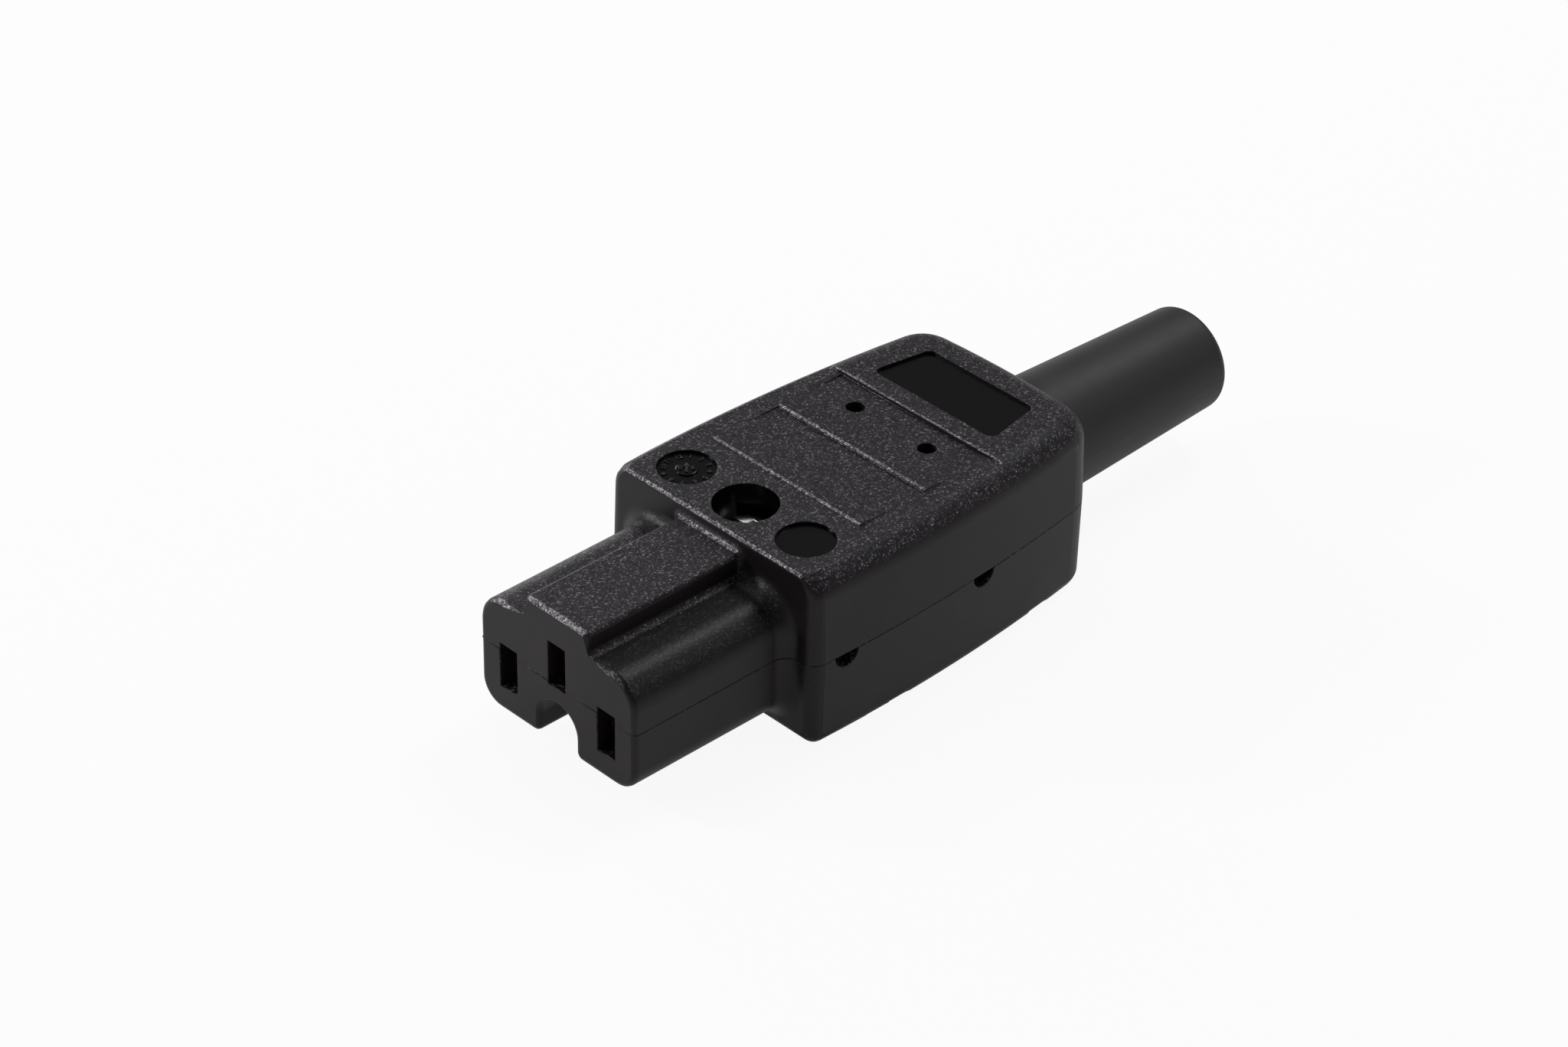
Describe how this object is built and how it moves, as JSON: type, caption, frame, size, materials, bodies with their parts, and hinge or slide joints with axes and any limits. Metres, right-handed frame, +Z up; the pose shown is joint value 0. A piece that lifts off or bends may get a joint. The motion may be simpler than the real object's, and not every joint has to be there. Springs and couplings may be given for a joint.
{
  "type": "appliance connector",
  "caption": "Rewirable hot-condition appliance connector: stepped nose with slots and a coding notch, split grip housing, screw, rear cord sleeve, contacts and cord clamp inside.",
  "frame": {"origin": "middle of the underside of the whole part's box: half way along its length, on the middle plane, on the plane the housing rests on", "axes": "+X to the right seen from behind the engagement face with the ridge up, +Y from the engagement face towards the cord end, +Z up through the ridge"},
  "size_m": [0.0298, 0.0886, 0.0197],
  "materials": {
    "housing_plastic": "satin, spark-eroded on the top faces",
    "sleeve_rubber": "smooth matte",
    "screw_steel": "zinc plated",
    "spring_steel": "plain spring steel",
    "contact_brass": "pressed, bright",
    "divider_plastic": "moulded",
    "clamp_plastic": "moulded"
  },
  "bodies": {
    "root": {"upper_shell": "housing_plastic", "lower_shell": "housing_plastic", "cord_sleeve": "sleeve_rubber", "housing_screw": "screw_steel", "housing_nut": "screw_steel", "line_contact": "contact_brass", "neutral_contact": "contact_brass", "earth_contact": "contact_brass", "line_spring": "spring_steel", "neutral_spring": "spring_steel", "earth_spring": "spring_steel", "line_terminal": "contact_brass", "neutral_terminal": "contact_brass", "earth_terminal": "contact_brass", "terminal_screws": "screw_steel", "terminal_plates": "contact_brass", "divider": "divider_plastic", "cord_clamp": "clamp_plastic", "clamp_screws": "screw_steel", "clamp_inserts": "contact_brass"}
  },
  "joints": []
}
